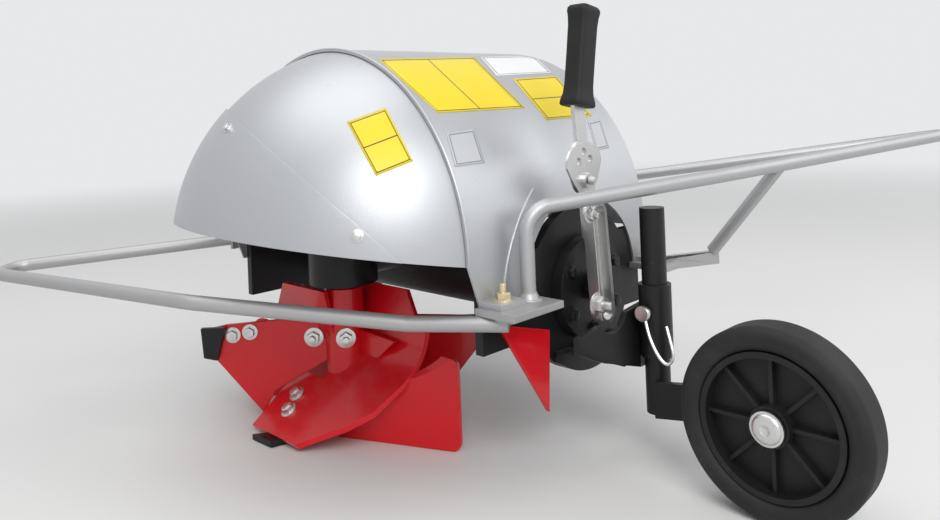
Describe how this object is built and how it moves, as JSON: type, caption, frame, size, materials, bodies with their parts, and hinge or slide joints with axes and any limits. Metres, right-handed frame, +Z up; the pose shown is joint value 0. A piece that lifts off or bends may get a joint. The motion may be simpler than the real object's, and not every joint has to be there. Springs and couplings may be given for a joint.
{
  "type": "reversible plough",
  "caption": "Reversible rotary plough for a walking tractor: sheet hood over a bladed rotor on a swinging head, with lever, tube guards and a depth wheel.",
  "frame": {"origin": "centre of the tractor flange's front face, on the drive and swing axis", "axes": "X along the drive axis, positive to the rear, away from the tractor; Y to the right-hand side of the hood's open rear arch; Z up"},
  "size_m": [1.0224, 1.0652, 0.5335],
  "materials": {
    "black_paint": "satin",
    "plastic": "satin",
    "red_paint": "gloss",
    "rubber": "matte",
    "silver_paint": "satin",
    "tyre": "matte",
    "zinc": "satin"
  },
  "bodies": {
    "frame": {"hood_shell": "silver_paint", "hood_end": "silver_paint", "seam_ring": "silver_paint", "hood_dome": "silver_paint", "hood_flap": "silver_paint", "rear_bulkhead": "black_paint", "front_bulkhead": "black_paint", "near_bracket": "silver_paint", "far_bracket": "silver_paint", "left_guard": "silver_paint", "right_guard": "silver_paint", "brace_arm": "silver_paint", "guard_brace": "silver_paint", "input_housing": "black_paint", "wheel_bracket": "black_paint", "wheel_sleeve": "black_paint", "wheel_post": "black_paint", "linch_pin": "zinc", "keel_fin": "red_paint", "wheel_arm": "black_paint", "wheel_axle": "black_paint", "hub_cap": "zinc"},
    "head": {"drive_housing": "black_paint", "rear_cap": "black_paint", "side_case": "black_paint", "rotor_bearing": "black_paint", "lever_channel": "zinc", "lever_bar": "zinc", "lever_grip": "rubber", "detent_pin": "zinc"},
    "rotor": {"blade_mould_1": "red_paint", "blade_mould_2": "red_paint", "blade_paddle_1": "red_paint", "blade_paddle_2": "red_paint", "blade_point_1": "black_paint", "blade_point_2": "black_paint", "blade_point_3": "black_paint", "blade_point_4": "black_paint", "blade_wing_1": "red_paint", "blade_wing_2": "red_paint", "rotor_hub": "red_paint"},
    "wheel": {"wheel_disc": "plastic", "tyre": "tyre"},
    "input": {"pto_shaft": "zinc"}
  },
  "joints": [
    {"name": "head_swing", "type": "hinge", "parent": "frame", "child": "head", "pos_m": [0.3, 0, 0], "axis": [1, 0, 0], "range_deg": [-10, 10]},
    {"name": "rotor_spin", "type": "hinge", "parent": "head", "child": "rotor", "pos_m": [0.265, -0.15, -0.1], "axis": [0, 0, 1], "continuous": true},
    {"name": "wheel_spin", "type": "hinge", "parent": "frame", "child": "wheel", "pos_m": [0.806, -0.031, -0.095], "axis": [0, 1, 0], "continuous": true},
    {"name": "input_spin", "type": "hinge", "parent": "frame", "child": "input", "pos_m": [0, 0, 0], "axis": [1, 0, 0], "continuous": true}
  ]
}
